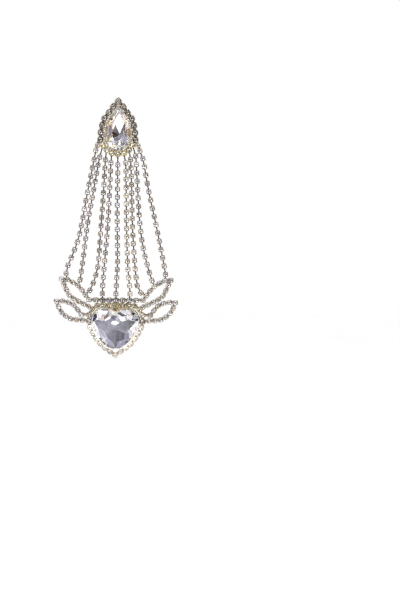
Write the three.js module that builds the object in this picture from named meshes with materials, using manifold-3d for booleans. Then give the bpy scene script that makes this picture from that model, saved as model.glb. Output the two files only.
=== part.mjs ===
// A rhinestone chandelier earring, hanging as it is worn, in millimetres.
// X runs across it, Z is up, and its stones face -Y. The origin is the root of the ear post,
// on the back of the post's pad. A pear-shaped crystal in a pointed arch of rhinestones carries
// nine strands of rhinestone chain, and they carry a heart-shaped crystal between four leaf loops.
import * as THREE from "three";
import { mergeVertices } from "three/addons/utils/BufferGeometryUtils.js";
import Module from "manifold-3d";

const wasm = await Module();
wasm.setup();

// Fits
const SOLDER_GAP = 0.3; // between two pieces that are fixed together
const SOLDER_LAP = 0.2; // how far soldered cups and links run into each other

// Ear post
const POST_RADIUS = 0.42;
const POST_LENGTH = 10;
const POST_TIP_LENGTH = 0.6;
const POST_TIP_RADIUS = 0.2;
const PAD_RADIUS = 2.6;
const PAD_THICKNESS = 0.6;
const POST_SIDES = 10;

// Rhinestone cups and the links between them
const CUP_SIDES = 8;
const CUP_WIDTH = 2.4; // across flats
const ARCH_CUP_WIDTH = 2.85; // the arch has larger stones
const CUP_FOOT = 0.45; // height of a strand's link and of the foot that it leaves
const CUP_RIM = 1.15; // height of the rim over the cup's back
const STONE_RISE = 0.5; // height of a rhinestone's table over the rim
const STONE_TABLE = 1.25; // across flats
const LINK_WIDTH = 0.6; // of the long links in the strands
const STRAND_LINK = 1.55; // clear length of a link between two cups, here and below
const ARCH_LINK = 0.65;
const TAIL_LINK = 0.4;
const LEAF_LINK = 0.5;
const HALO_LINK = 0.55;
const CROWN_ROW_LINK = 0.8;
const LOWER_ROW_LINK = 0.55;
const STRAND_END = 0.2; // bare link between a strand's last cup and its solder
const CROWN_ROW_STONES = 7;

// Large stones and the settings that hold them
const PEAR_WIDTH = 12.2;
const PEAR_HEIGHT = 20.4;
const PEAR_MIDDLE = -0.55; // height of its middle over the post
const PEAR_PAVILION = 2.2;
const PEAR_CROWN = 1.5;
const HEART_WIDTH = 22;
const HEART_HEIGHT = 19.3;
const HEART_MIDDLE = -95.5; // height of its middle over the post
const HEART_PAVILION = 3.1;
const HEART_CROWN = 2;
const GIRDLE = 0.4;
const CULET_SHARE = 0.12; // of the stone's outline
const TABLE_SHARE = 0.6;
const SETTING_WALL = 0.5;
const SETTING_FLOOR = 0.5;
const TOOTH_REACH = 0.7; // how far a tooth of the setting leans in over the stone
const TOOTH_RISE = 0.3;
const TOOTH_ROOT = 0.2;
const OUTLINE_SIDES = 24;

// Half outlines of the large stones from top to bottom, as shares of half their width and height
const PEAR_OUTLINE = [
  { across: 0, up: 1 },
  { across: 0.24, up: 0.82 },
  { across: 0.46, up: 0.64 },
  { across: 0.76, up: 0.41 },
  { across: 0.91, up: 0.13 },
  { across: 1, up: -0.16 },
  { across: 1, up: -0.43 },
  { across: 0.83, up: -0.73 },
  { across: 0.45, up: -0.94 },
  { across: 0, up: -1 },
];
const HEART_OUTLINE = [
  { across: 0, up: 0.8 },
  { across: 0.24, up: 0.94 },
  { across: 0.51, up: 1 },
  { across: 0.78, up: 0.88 },
  { across: 0.95, up: 0.63 },
  { across: 1, up: 0.34 },
  { across: 0.93, up: 0.03 },
  { across: 0.8, up: -0.28 },
  { across: 0.62, up: -0.58 },
  { across: 0.37, up: -0.86 },
  { across: 0, up: -1 },
];

// Right halves of the rows of rhinestones round the large stones, as shares of half the stone's width and
// height: the arch from its point down to the pear's side, its tail from there outwards, and the heart's
// own row from beside its dip to its tip
const ARCH_OUTLINE = [
  { across: 0, up: 1.32 },
  { across: 0.37, up: 1.07 },
  { across: 0.73, up: 0.77 },
  { across: 1.06, up: 0.51 },
  { across: 1.24, up: 0.18 },
  { across: 1.34, up: -0.14 },
  { across: 1.37, up: -0.5 },
];
const TAIL_OUTLINE = [
  { across: 1.37, up: -0.5 },
  { across: 1.57, up: -0.74 },
  { across: 1.72, up: -1 },
];
const HALO_OUTLINE = [
  { across: 0.26, up: 1.15 },
  { across: 0.5, up: 1.18 },
  { across: 0.75, up: 1.16 },
  { across: 0.97, up: 1.02 },
  { across: 1.12, up: 0.78 },
  { across: 1.18, up: 0.5 },
  { across: 1.16, up: 0.22 },
  { across: 1.07, up: -0.07 },
  { across: 0.92, up: -0.36 },
  { across: 0.75, up: -0.64 },
  { across: 0.55, up: -0.88 },
  { across: 0.31, up: -1.08 },
  { across: 0, up: -1.31 },
];

// The leaf loops on the right, from their lower root out to the tip and back to their upper root, as shares
// of half the heart's width and height
const UPPER_LEAF = {
  out: [
    { across: 1.16, up: 1.07 },
    { across: 1.59, up: 1.31 },
    { across: 2, up: 1.6 },
    { across: 2.18, up: 1.96 },
    { across: 2.37, up: 2.42 },
  ],
  back: [
    { across: 2.37, up: 2.42 },
    { across: 2.15, up: 2.41 },
    { across: 1.66, up: 2.11 },
    { across: 1.33, up: 1.66 },
    { across: 1.17, up: 1.41 },
  ],
};
const LOWER_LEAF = {
  out: [
    { across: 1.44, up: 0.4 },
    { across: 1.94, up: 0.46 },
    { across: 2.36, up: 0.79 },
    { across: 2.58, up: 1.31 },
  ],
  back: [
    { across: 2.58, up: 1.31 },
    { across: 2.32, up: 1.33 },
    { across: 1.85, up: 1.16 },
    { across: 1.5, up: 0.68 },
  ],
};

// Routes of the strands from left to right, [across, down] of points that they pass: across as a share of
// half the heart's width, and down as a share of the way from the pear's middle to the heart's middle. The
// first point of each is the seat of its first cup.
const STRANDS = [
  [[-1.02, 0.153], [-1.3, 0.325], [-1.55, 0.493], [-1.72, 0.575], [-1.98, 0.654], [-2.17, 0.713]],
  [[-0.78, 0.14], [-1.02, 0.303], [-1.26, 0.47], [-1.43, 0.639], [-1.56, 0.755]],
  [[-0.53, 0.154], [-0.6, 0.323], [-0.69, 0.495], [-0.78, 0.667], [-0.92, 0.747], [-1.11, 0.805]],
  [[-0.29, 0.169], [-0.34, 0.338], [-0.41, 0.511], [-0.52, 0.679], [-0.59, 0.805]],
  [[0.01, 0.179], [0.01, 0.436], [0.05, 0.658], [0, 0.811]],
  [[0.35, 0.169], [0.39, 0.339], [0.43, 0.52], [0.5, 0.699], [0.6, 0.805]],
  [[0.56, 0.151], [0.63, 0.324], [0.68, 0.495], [0.8, 0.679], [0.92, 0.787], [1.04, 0.816]],
  [[0.78, 0.134], [0.88, 0.301], [0.99, 0.467], [1.19, 0.615], [1.54, 0.755]],
  [[1.09, 0.146], [1.37, 0.314], [1.7, 0.48], [2, 0.643], [2.13, 0.723]],
];

// Values that follow from the sizes
const PEAR = {
  width: PEAR_WIDTH,
  height: PEAR_HEIGHT,
  middle: PEAR_MIDDLE,
  pavilion: PEAR_PAVILION,
  crown: PEAR_CROWN,
};
const HEART = {
  width: HEART_WIDTH,
  height: HEART_HEIGHT,
  middle: HEART_MIDDLE,
  pavilion: HEART_PAVILION,
  crown: HEART_CROWN,
};
const CUP_HALF = CUP_WIDTH / 2;
const CORNER = Math.tan(Math.PI / CUP_SIDES); // half a side of a cup, as a share of half its width
const CUP_CORNER_RADIUS = CUP_HALF * Math.hypot(1, CORNER);
const FRAME_BACK = -(PAD_THICKNESS + SOLDER_GAP); // the plane that all cups and settings stand on
const CUP_TOP = CUP_RIM + STONE_RISE;
const TABLE_OF_CUP = STONE_TABLE / CUP_WIDTH;
const CUP_TURN = (2 * Math.PI) / CUP_SIDES; // from one side of a cup to the next

// Materials
const rhinestoneChain = new THREE.MeshStandardMaterial({ color: 0xa59b90, roughness: 0.3, metalness: 0.7 });
const paleGold = new THREE.MeshStandardMaterial({ color: 0xd9c79a, roughness: 0.28, metalness: 1 });
const crystal = new THREE.MeshStandardMaterial({ color: 0xb4b4c6, roughness: 0.06, metalness: 0.2 });

const mirrored = (points) => points.map(([x, z]) => [-x, z]);

// A smooth curve through a few points.
function smooth(points) {
  const knots = points.map(([x, z]) => new THREE.Vector3(x, 0, z));
  return new THREE.CatmullRomCurve3(knots, false, "catmullrom", 0.5);
}

// The point of a curve at a share of its length.
function pointAt(curve, share) {
  const { x, z } = curve.getPointAt(share);
  return [x, z];
}

// Cups from one end of a curve to the other, with as many as the length of the links between them allows.
function seatsAlong(points, link, width = CUP_WIDTH) {
  const curve = smooth(points);
  const gaps = Math.max(1, Math.round(curve.getLength() / (width + link)));
  return Array.from({ length: gaps + 1 }, (_, i) => pointAt(curve, i / gaps));
}

// A point at a height over the plane that the cups stand on, towards the front.
const lifted = ([x, z], height) => [x, FRAME_BACK - height, z];

// Collects the triangles of one closed surface.
class Surface {
  constructor() {
    this.corners = [];
  }
  face(...points) {
    for (let i = 1; i + 1 < points.length; i++) {
      this.corners.push(...points[0], ...points[i], ...points[i + 1]);
    }
  }
  // A flat outline of any shape, facing the front or the back.
  cap(ring, towardsFront) {
    const flat = ring.map(([x, , z]) => new THREE.Vector2(x, z));
    for (const [a, b, c] of THREE.ShapeUtils.triangulateShape(flat, [])) {
      this.face(ring[a], ring[towardsFront ? b : c], ring[towardsFront ? c : b]);
    }
  }
  // The wall between an edge of a ring and the same edge of the next ring towards the front.
  wall(back, front, k) {
    const next = (k + 1) % back.length;
    this.face(back[k], back[next], front[next], front[k]);
  }
  geometry() {
    const open = new THREE.BufferGeometry();
    open.setAttribute("position", new THREE.Float32BufferAttribute(this.corners, 3));
    return mergeVertices(open, 1e-4);
  }
}

// A solid through rings of equally many points, from its back to its front.
function lofted(rings) {
  const surface = new Surface();
  surface.cap(rings[0], false);
  for (let j = 0; j + 1 < rings.length; j++) {
    rings[j].forEach((_, k) => surface.wall(rings[j], rings[j + 1], k));
  }
  surface.cap(rings.at(-1), true);
  return surface.geometry();
}

// The eight corners of a cup. Edge 0 faces along the chain, and edge 4 faces back along it.
function octagon([x, z], angle, half, linkHalf = half * CORNER) {
  const diagonal = half * CORNER;
  const corners = [
    [half, -linkHalf], [half, linkHalf], [diagonal, half], [-diagonal, half],
    [-half, linkHalf], [-half, -linkHalf], [-diagonal, -half], [diagonal, -half],
  ];
  const [c, s] = [Math.cos(angle), Math.sin(angle)];
  return corners.map(([u, v]) => [x + u * c - v * s, z + u * s + v * c]);
}

const direction = (from, to) => Math.atan2(to[1] - from[1], to[0] - from[0]);
const turned = (angle) => Math.atan2(Math.sin(angle), Math.cos(angle));
const edgeFacing = (cup, angle) =>
  (Math.round(turned(angle - cup.angle) / CUP_TURN) + CUP_SIDES) % CUP_SIDES;
const distance = (a, b) => Math.hypot(a[0] - b[0], a[1] - b[1]);

// A run of rhinestone cups joined by links, as one closed surface. fine gives it thin links on a low
// foot, as in the strands. An end reaches for the cup at startAt or endAt, and its link stops that far
// short of the cup's wall.
function chain(seats, { width = CUP_WIDTH, fine = false, startAt, endAt, stop = -SOLDER_LAP }) {
  const surface = new Surface();
  const half = width / 2;
  const cups = seats.map((seat, i) => {
    const before = seats[i - 1] ?? startAt;
    const after = seats[i + 1] ?? endAt;
    const out = after ? direction(seat, after) : direction(before, seat);
    const along = before ? direction(before, seat) : out;
    const bend = turned(out - along);
    const angle = Math.abs(bend) < CUP_TURN ? along + bend / 2 : out;
    const foot = octagon(seat, angle, half, fine ? LINK_WIDTH / 2 : undefined);
    const rim = octagon(seat, angle, half);
    const table = octagon(seat, angle, TABLE_OF_CUP * half);
    const rings = [foot.map((p) => lifted(p, 0))];
    if (fine) rings.push(foot.map((p) => lifted(p, CUP_FOOT)));
    rings.push(rim.map((p) => lifted(p, CUP_RIM)), table.map((p) => lifted(p, CUP_TOP)));
    return { seat, angle, rings, linked: new Set() };
  });
  // The four corners that a link leaves a cup by, and the same four as the next cup meets them.
  const mouth = ({ rings: [low, high] }, k) => {
    const next = (k + 1) % CUP_SIDES;
    return [low[k], low[next], high[next], high[k]];
  };
  const facing = ([a, b, c, d]) => [b, a, d, c];
  const sleeve = (from, to) => {
    from.forEach((p, i) => surface.face(p, from[(i + 1) % 4], to[(i + 1) % 4], to[i]));
  };
  const reach = (cup, target) => {
    const angle = direction(cup.seat, target);
    const length = distance(cup.seat, target) - half - CUP_CORNER_RADIUS - stop;
    if (length <= 0) return;
    const k = edgeFacing(cup, angle);
    const root = mouth(cup, k);
    const end = root.map(([x, y, z]) => [x + length * Math.cos(angle), y, z + length * Math.sin(angle)]);
    cup.linked.add(k);
    sleeve(root, end);
    surface.face(...end);
  };
  cups.slice(1).forEach((cup, i) => {
    const last = cups[i];
    const leaves = edgeFacing(last, direction(last.seat, cup.seat));
    const meets = edgeFacing(cup, direction(cup.seat, last.seat));
    last.linked.add(leaves);
    cup.linked.add(meets);
    sleeve(mouth(last, leaves), facing(mouth(cup, meets)));
  });
  if (startAt) reach(cups[0], startAt);
  if (endAt) reach(cups.at(-1), endAt);
  for (const { rings, linked } of cups) {
    surface.cap(rings[0], false);
    for (let j = 0; j + 1 < rings.length; j++) {
      for (let k = 0; k < CUP_SIDES; k++) {
        if (j > 0 || !linked.has(k)) surface.wall(rings[j], rings[j + 1], k);
      }
    }
    surface.cap(rings.at(-1), true);
  }
  return surface.geometry();
}

// Points of a table of shares, at their real size.
function sized(shares, { width, height, middle }) {
  return shares.map(({ across, up }) => [(across * width) / 2, middle + (up * height) / 2]);
}

// The whole outline of a large stone, anticlockwise seen from the front, from its half outline.
function outlineOf(half, stone) {
  const curve = smooth(sized(half, stone));
  const right = curve.getSpacedPoints(OUTLINE_SIDES / 2).map(({ x, z }) => [x, z]);
  return [...right, ...mirrored(right.slice(1, -1)).reverse()].reverse();
}

// An outline moved outwards by a distance, square to its edges.
function grown(outline, by) {
  const count = outline.length;
  return outline.map((p, i) => {
    const inward = direction(outline[(i + count - 1) % count], p);
    const onward = direction(p, outline[(i + 1) % count]);
    const half = turned(onward - inward) / 2;
    const normal = inward + half - Math.PI / 2;
    const mitre = by / Math.cos(half);
    return [p[0] + mitre * Math.cos(normal), p[1] + mitre * Math.sin(normal)];
  });
}

// An outline shrunk towards a middle height.
function shrunk(outline, share, middle) {
  return outline.map(([x, z]) => [x * share, middle + (z - middle) * share]);
}

const atHeight = (outline, height) => outline.map((p) => lifted(p, height));
const girdleTop = (pavilion) => SETTING_FLOOR + SOLDER_GAP + pavilion + GIRDLE;

// A cut stone with a table, a facet on every edge of its girdle above and below, and a small flat culet.
function cutStone(outline, { middle, pavilion, crown }) {
  const girdle = outline.filter((_, i) => i % 2 === 1);
  const top = girdleTop(pavilion);
  return lofted([
    atHeight(shrunk(girdle, CULET_SHARE, middle), top - GIRDLE - pavilion),
    atHeight(girdle, top - GIRDLE),
    atHeight(girdle, top),
    atHeight(shrunk(girdle, TABLE_SHARE, middle), top + crown),
  ]);
}

// A cup that fits a stone's outline, with a floor and a rim of teeth that lean in over the stone.
function toothedSetting(outline, { pavilion }) {
  const inner = grown(outline, SOLDER_GAP);
  const outer = grown(outline, SOLDER_GAP + SETTING_WALL);
  const leaning = grown(outline, SOLDER_GAP - TOOTH_REACH);
  const rim = girdleTop(pavilion) + SOLDER_GAP + TOOTH_ROOT;
  const isTooth = (i) => i % 2 === 0;
  const rimHeight = (i) => rim + (isTooth(i) ? TOOTH_RISE : 0);
  return lofted([
    atHeight(outer, 0),
    outer.map((p, i) => lifted(p, rimHeight(i))),
    inner.map((p, i) => lifted(isTooth(i) ? leaning[i] : p, rimHeight(i))),
    atHeight(inner, rim - TOOTH_ROOT),
    atHeight(inner, SETTING_FLOOR),
  ]);
}

function solidOf(geometry) {
  const bare = new THREE.BufferGeometry();
  bare.setAttribute("position", geometry.getAttribute("position"));
  bare.setIndex(geometry.index);
  const merged = mergeVertices(bare, 1e-4);
  const vertProperties = merged.getAttribute("position").array;
  const triVerts = new Uint32Array(merged.index.array);
  return new wasm.Manifold(new wasm.Mesh({ numProp: 3, vertProperties, triVerts }));
}

// One solid from closed surfaces that run into each other, as soldered metal does.
function soldered(geometries) {
  const { vertProperties, triVerts } = geometries.map(solidOf).reduce((all, one) => all.add(one)).getMesh();
  const joined = new THREE.BufferGeometry();
  joined.setAttribute("position", new THREE.Float32BufferAttribute(vertProperties, 3));
  joined.setIndex([...triVerts]);
  return joined;
}

function nearest(seat, others) {
  return others.reduce((best, other) => (distance(other, seat) < distance(best, seat) ? other : best));
}

// The large cups of the arch, from its left foot over its point to its right foot.
function archSeats() {
  const right = seatsAlong(sized(ARCH_OUTLINE, PEAR), ARCH_LINK, ARCH_CUP_WIDTH);
  return [...mirrored(right.slice(1)).reverse(), ...right];
}

// The cups that lead outwards from the arch's right foot.
function tailSeats() {
  return seatsAlong(sized(TAIL_OUTLINE, PEAR), TAIL_LINK).slice(1);
}

// The row of cups soldered round the lower end of the pear's setting, from left to right. Each carries a
// strand, and so do the ends of the arch's two tails.
function lowerRowSeats(pear) {
  const around = grown(pear, SOLDER_GAP + SETTING_WALL + CUP_HALF - SOLDER_LAP / 2);
  const bottom = around.findIndex(([x]) => Math.abs(x) < 1e-6);
  const curve = smooth(around.slice(bottom, bottom + OUTLINE_SIDES / 2));
  const onEachSide = (STRANDS.length - 3) / 2;
  const pitch = (CUP_WIDTH + LOWER_ROW_LINK) / curve.getLength();
  const right = Array.from({ length: onEachSide + 1 }, (_, i) => pointAt(curve, i * pitch));
  return [...mirrored(right.slice(1)).reverse(), ...right];
}

// The cups round the heart, from beside the dip down the right side to the tip and up the left side.
function haloSeats() {
  const right = seatsAlong(sized(HALO_OUTLINE, HEART), HALO_LINK);
  return [...right, ...mirrored(right.slice(0, -1)).reverse()];
}

// The straight row of cups on top of the heart's own row.
function crownRowSeats(halo) {
  const height = Math.max(...halo.map(([, z]) => z)) + CUP_WIDTH - SOLDER_LAP;
  const pitch = CUP_WIDTH + CROWN_ROW_LINK;
  const middle = (CROWN_ROW_STONES - 1) / 2;
  return Array.from({ length: CROWN_ROW_STONES }, (_, i) => [(i - middle) * pitch, height]);
}

function leafSeats({ out, back }) {
  const outward = seatsAlong(sized(out, HEART), LEAF_LINK);
  const homeward = seatsAlong(sized(back, HEART), LEAF_LINK);
  return [...outward, ...homeward.slice(1)];
}

function earPost() {
  const profile = [
    [0, -PAD_THICKNESS],
    [PAD_RADIUS, -PAD_THICKNESS],
    [PAD_RADIUS, 0],
    [POST_RADIUS, 0],
    [POST_RADIUS, POST_LENGTH - POST_TIP_LENGTH],
    [POST_TIP_RADIUS, POST_LENGTH],
    [0, POST_LENGTH],
  ];
  return new THREE.LatheGeometry(profile.map(([r, y]) => new THREE.Vector2(r, y)), POST_SIDES);
}

function topFrame(pear, arch, tail, lowerRow) {
  return soldered([
    toothedSetting(pear, PEAR),
    chain(arch, { width: ARCH_CUP_WIDTH }),
    chain(tail, { startAt: arch.at(-1) }),
    chain(mirrored(tail), { startAt: arch[0] }),
    chain(lowerRow, { startAt: nearest(lowerRow[0], mirrored(tail)), endAt: nearest(lowerRow.at(-1), tail) }),
  ]);
}

function heartFrame(heart, halo, crownRow, leaves) {
  const rows = [...halo, ...crownRow];
  const loops = leaves.map((leaf) =>
    chain(leaf, { startAt: nearest(leaf[0], rows), endAt: nearest(leaf.at(-1), rows) }),
  );
  return soldered([toothedSetting(heart, HEART), chain(halo, {}), chain(crownRow, {}), ...loops]);
}

// A strand from the cup that it hangs on to the cup that it carries.
function strand(points, from, to) {
  const curve = smooth([from, ...points, to]);
  const length = curve.getLength();
  const first = distance(from, points[0]);
  const last = length - (CUP_HALF + CUP_CORNER_RADIUS + SOLDER_GAP + STRAND_END);
  const gaps = Math.round((last - first) / (CUP_WIDTH + STRAND_LINK));
  const pitch = (last - first) / gaps;
  const seats = Array.from({ length: gaps + 1 }, (_, i) => pointAt(curve, (first + i * pitch) / length));
  return chain(seats, { fine: true, startAt: from, endAt: to, stop: SOLDER_GAP });
}

function named(name, geometry, material) {
  const mesh = new THREE.Mesh(geometry, material);
  mesh.name = name;
  return mesh;
}

const pear = outlineOf(PEAR_OUTLINE, PEAR);
const heart = outlineOf(HEART_OUTLINE, HEART);
const arch = archSeats();
const tail = tailSeats();
const lowerRow = lowerRowSeats(pear);
const halo = haloSeats();
const crownRow = crownRowSeats(halo);
const upperLeaf = leafSeats(UPPER_LEAF);
const lowerLeaf = leafSeats(LOWER_LEAF);
const leaves = [upperLeaf, lowerLeaf, mirrored(upperLeaf), mirrored(lowerLeaf)];
const hangers = [...mirrored(tail.slice(-1)), ...lowerRow, ...tail.slice(-1)];
const carried = [...crownRow, ...upperLeaf, ...mirrored(upperLeaf)];

const earring = new THREE.Group();
earring.add(
  named("ear_post", earPost(), paleGold),
  named("top_frame", topFrame(pear, arch, tail, lowerRow), rhinestoneChain),
  named("pear_stone", cutStone(pear, PEAR), crystal),
  named("heart_frame", heartFrame(heart, halo, crownRow, leaves), rhinestoneChain),
  named("heart_stone", cutStone(heart, HEART), crystal),
);
STRANDS.forEach((route, i) => {
  const points = route.map(([across, down]) => [
    (across * HEART_WIDTH) / 2,
    PEAR_MIDDLE + down * (HEART_MIDDLE - PEAR_MIDDLE),
  ]);
  const hung = strand(points, hangers[i], nearest(points.at(-1), carried));
  earring.add(named(`strand_${i + 1}`, hung, rhinestoneChain));
});

export default earring;
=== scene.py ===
"""A rhinestone chandelier earring in pale gold, hanging as it is worn, its stones facing -Y.

Lengths are in millimetres up to the point where a mesh is made, and in metres from there on. A plan point is
(across, up) on the plane that all cups and settings stand on, and a height is measured from that plane
towards the front.
"""

import math

import bpy
import numpy as np
from mathutils import Matrix, Vector
from mathutils.geometry import delaunay_2d_cdt


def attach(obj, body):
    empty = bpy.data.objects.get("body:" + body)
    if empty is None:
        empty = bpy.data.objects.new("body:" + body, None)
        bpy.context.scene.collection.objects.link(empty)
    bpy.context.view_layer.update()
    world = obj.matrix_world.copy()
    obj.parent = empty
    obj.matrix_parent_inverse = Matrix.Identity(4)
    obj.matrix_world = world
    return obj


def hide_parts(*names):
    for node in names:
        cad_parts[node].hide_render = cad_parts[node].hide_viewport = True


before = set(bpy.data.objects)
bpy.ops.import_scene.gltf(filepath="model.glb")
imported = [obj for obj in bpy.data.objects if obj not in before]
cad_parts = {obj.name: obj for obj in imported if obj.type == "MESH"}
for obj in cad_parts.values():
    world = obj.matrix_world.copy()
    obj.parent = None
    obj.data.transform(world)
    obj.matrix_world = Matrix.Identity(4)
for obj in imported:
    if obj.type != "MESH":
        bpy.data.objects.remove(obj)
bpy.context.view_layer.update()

MM = 0.001

# The photograph's frame, and how the earring lies in it
FRAME_HEIGHT = 600  # pixels
FRAME_MIDDLE = (200, 300)
POST_PIXEL = (118, 128)  # where the root of the ear post is
PIXEL = 0.476  # size of a pixel at the earring
LEAN = math.radians(0.7)  # clockwise
FACING_DEPTH = -2  # depth of the plane that the frame is measured on
LENS = 120
SENSOR = 36

# Sizes of the earring
FRAME_BACK = -0.9
SOLDER_GAP = 0.3
SOLDER_LAP = 0.2
SETTING_WALL = 0.5
SETTING_FLOOR = 0.5
GIRDLE = 0.4
STONE_FIT = 0.22  # how far a large stone's girdle reaches into its setting's gap
CUP_WIDTH = 2.4
ARCH_CUP_WIDTH = 2.85
CUP_HALF = CUP_WIDTH / 2
CUP_CORNER_RADIUS = CUP_HALF * math.hypot(1, math.tan(math.pi / 8))
STRAND_LINK = 1.55
ARCH_LINK = 0.65
TAIL_LINK = 0.4
LEAF_LINK = 0.5
HALO_LINK = 0.55
CROWN_ROW_LINK = 0.8
LOWER_ROW_LINK = 0.55
STRAND_END = 0.2
CROWN_ROW_STONES = 7
OUTLINE_SIDES = 24
# The large stones. A culet is in shares of half the stone, and teeth counts those of its setting.
PEAR = {
    "name": "pear", "width": 12.2, "height": 20.4, "middle": -0.55, "crown": 1.5,
    "pavilion": 2.2, "culet": (0.06, -0.21), "teeth": 44,
}
HEART = {
    "name": "heart", "width": 22, "height": 19.3, "middle": -95.5, "crown": 2,
    "pavilion": 3.1, "culet": (0, 0), "teeth": 76,
}

# Half outlines of the large stones and of the rows round them, (across, up) in shares of half the stone
PEAR_OUTLINE = [
    (0, 1), (0.24, 0.82), (0.46, 0.64), (0.76, 0.41), (0.91, 0.13), (1, -0.16), (1, -0.43), (0.83, -0.73),
    (0.45, -0.94), (0, -1),
]
HEART_OUTLINE = [
    (0, 0.8), (0.24, 0.94), (0.51, 1), (0.78, 0.88), (0.95, 0.63), (1, 0.34), (0.93, 0.03),
    (0.8, -0.28), (0.62, -0.58), (0.37, -0.86), (0, -1),
]
ARCH_OUTLINE = [
    (0, 1.32), (0.37, 1.07), (0.73, 0.77), (1.06, 0.51), (1.24, 0.18), (1.34, -0.14), (1.37, -0.5),
]
TAIL_OUTLINE = [(1.37, -0.5), (1.57, -0.74), (1.72, -1)]
HALO_OUTLINE = [
    (0.26, 1.15), (0.5, 1.18), (0.75, 1.16), (0.97, 1.02), (1.12, 0.78), (1.18, 0.5), (1.16, 0.22),
    (1.07, -0.07), (0.92, -0.36), (0.75, -0.64), (0.55, -0.88), (0.31, -1.08), (0, -1.31),
]
UPPER_LEAF = (
    [(1.16, 1.07), (1.59, 1.31), (2, 1.6), (2.18, 1.96), (2.37, 2.42)],
    [(2.37, 2.42), (2.15, 2.41), (1.66, 2.11), (1.33, 1.66), (1.17, 1.41)],
)
LOWER_LEAF = (
    [(1.44, 0.4), (1.94, 0.46), (2.36, 0.79), (2.58, 1.31)],
    [(2.58, 1.31), (2.32, 1.33), (1.85, 1.16), (1.5, 0.68)],
)

# Routes of the strands from left to right, (across, down): across in shares of half the heart's width, and
# down in shares of the way from the pear's middle to the heart's
STRANDS = [
    [(-1.02, 0.153), (-1.3, 0.325), (-1.55, 0.493), (-1.72, 0.575), (-1.98, 0.654), (-2.17, 0.713)],
    [(-0.78, 0.14), (-1.02, 0.303), (-1.26, 0.47), (-1.43, 0.639), (-1.56, 0.755)],
    [(-0.53, 0.154), (-0.6, 0.323), (-0.69, 0.495), (-0.78, 0.667), (-0.92, 0.747), (-1.11, 0.805)],
    [(-0.29, 0.169), (-0.34, 0.338), (-0.41, 0.511), (-0.52, 0.679), (-0.59, 0.805)],
    [(0.01, 0.179), (0.01, 0.436), (0.05, 0.658), (0, 0.811)],
    [(0.35, 0.169), (0.39, 0.339), (0.43, 0.52), (0.5, 0.699), (0.6, 0.805)],
    [(0.56, 0.151), (0.63, 0.324), (0.68, 0.495), (0.8, 0.679), (0.92, 0.787), (1.04, 0.816)],
    [(0.78, 0.134), (0.88, 0.301), (0.99, 0.467), (1.19, 0.615), (1.54, 0.755)],
    [(1.09, 0.146), (1.37, 0.314), (1.7, 0.48), (2, 0.643), (2.13, 0.723)],
]

TINTS = {
    # of the foil behind the small stones
    "white": (0.96, 0.96, 0.98),
    "mist": (0.5, 0.52, 0.62),
    "slate": (0.3, 0.29, 0.37),
    "dusk": (0.17, 0.16, 0.22),
    "moss": (0.22, 0.25, 0.23),
    "cream": (0.9, 0.84, 0.68),
    "gold": (0.62, 0.46, 0.2),
    "bronze": (0.42, 0.35, 0.24),
    "taupe": (0.3, 0.26, 0.22),
    "brown": (0.11, 0.085, 0.07),
    "beige": (0.62, 0.56, 0.47),
    "lilac": (0.42, 0.38, 0.5),
    # of the foil behind the large stones, which uses some of those above too: painted reflections, the light,
    # dark and glints that the facets would mirror
    "clear": (1.0, 1.0, 1.0),
    "milk": (0.62, 0.62, 0.66),
    "band": (0.35, 0.35, 0.43),
    "dull_band": (0.24, 0.23, 0.31),
    "shield": (0.235, 0.228, 0.275),
    "dull_shield": (0.2, 0.2, 0.23),
    "soft_shield": (0.27, 0.26, 0.32),
    "leaden": (0.17, 0.175, 0.185),
    "haze": (0.46, 0.46, 0.54),
    "kite": (0.16, 0.15, 0.19),
    "dark_kite": (0.09, 0.083, 0.115),
    "plum": (0.068, 0.06, 0.088),
    "smoke": (0.14, 0.135, 0.15),
    "cloud": (0.33, 0.33, 0.34),
    "fern": (0.11, 0.115, 0.1),
    "olive": (0.36, 0.35, 0.2),
    "rosewood": (0.26, 0.195, 0.185),
    "petal": (0.55, 0.45, 0.44),
    "butter": (0.72, 0.66, 0.46),
    "amber": (0.42, 0.29, 0.13),
    "navy": (0.018, 0.018, 0.05),
    "indigo": (0.07, 0.065, 0.17),
    "maroon": (0.02, 0.008, 0.009),
    # of the metal, which multiply its own colour
    "bright": (1.0, 1.0, 1.0),
    "fair": (0.68, 0.63, 0.58),
    "aged": (0.54, 0.5, 0.46),
    "worn": (0.4, 0.36, 0.325),
    "shaded": (0.41, 0.375, 0.35),
    "golden": (0.64, 0.59, 0.41),
    "antique": (0.6, 0.55, 0.41),
    "blush": (0.7, 0.66, 0.65),
    "sage": (0.47, 0.47, 0.33),
    "pearl": (0.7, 0.66, 0.74),
    "deep_gold": (0.4, 0.345, 0.205),
}


# Curves and places in the plan

def smooth(points, steps=24):
    """A smooth curve through a few points, as a fine line."""
    p = np.asarray(points, float)
    p = np.vstack([2 * p[0] - p[1], p, 2 * p[-1] - p[-2]])
    t = np.linspace(0, 1, steps, endpoint=False)[:, None]
    spans = []
    for a, b, c, d in zip(p, p[1:], p[2:], p[3:]):
        start, end = (c - a) / 2, (d - b) / 2
        square = 3 * (c - b) - 2 * start - end
        cube = 2 * (b - c) + start + end
        spans.append(b + start * t + square * t**2 + cube * t**3)
    return np.vstack([*spans, p[-2:-1]])


def marks_on(line):
    """How far along a line each of its points is."""
    return np.concatenate([[0], np.cumsum(np.hypot(*np.diff(line, axis=0).T))])


def spaced(line, shares):
    """Points of a line at shares of its length."""
    marks = marks_on(line)
    where = np.asarray(shares, float) * marks[-1]
    return np.stack([np.interp(where, marks, line[:, i]) for i in (0, 1)], axis=1)


def mirrored(points):
    return np.asarray(points, float) * (-1, 1)


def sized(shares, stone):
    """Points in shares of a stone's half width and height, at their real size."""
    half = np.array([stone["width"], stone["height"]]) / 2
    return np.asarray(shares, float) * half + (0, stone["middle"])


def direction(start, end):
    return math.atan2(end[1] - start[1], end[0] - start[0])


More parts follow.
